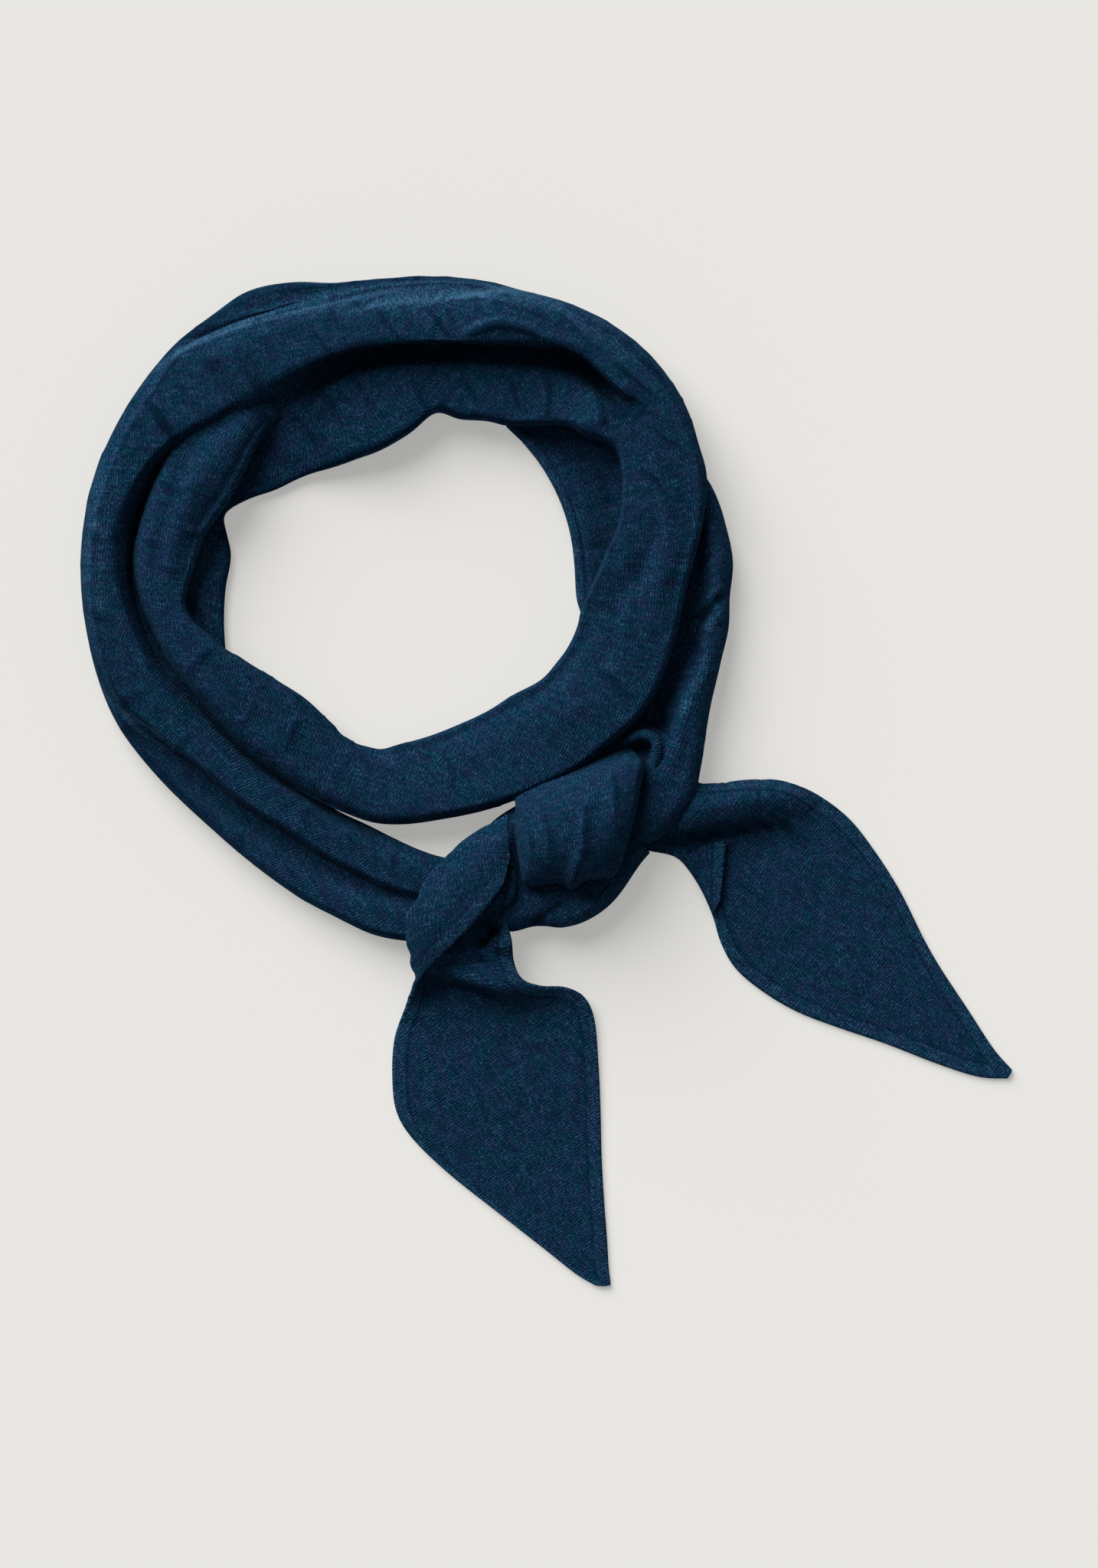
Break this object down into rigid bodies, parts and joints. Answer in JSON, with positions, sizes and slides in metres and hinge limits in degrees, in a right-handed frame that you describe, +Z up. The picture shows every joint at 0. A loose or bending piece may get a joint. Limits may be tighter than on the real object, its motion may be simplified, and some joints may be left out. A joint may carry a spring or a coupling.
{
  "type": "wool scarf",
  "caption": "Narrow fine-knit wool scarf with pointed ends, wound twice into a loop and tied in a flat knot, laid flat with both ends open.",
  "frame": {"origin": "middle of the whole scarf's box, on the surface it lies on", "axes": "+Z up from the surface, +Y from the pointed ends towards the far side of the loop, +X towards the right end"},
  "size_m": [0.3154, 0.3422, 0.0315],
  "materials": {
    "wool_knit": "fine marled wool knit, matte with a soft nap"
  },
  "bodies": {
    "root": {"first_turn_left": "wool_knit", "first_turn_top": "wool_knit", "under_turn": "wool_knit", "front_turn_right": "wool_knit", "front_turn_bottom": "wool_knit", "front_turn_left": "wool_knit", "knot_under": "wool_knit", "knot_band": "wool_knit", "knot_loop": "wool_knit", "left_tail": "wool_knit", "right_tail": "wool_knit", "right_tail_turned_edge": "wool_knit"}
  },
  "joints": []
}
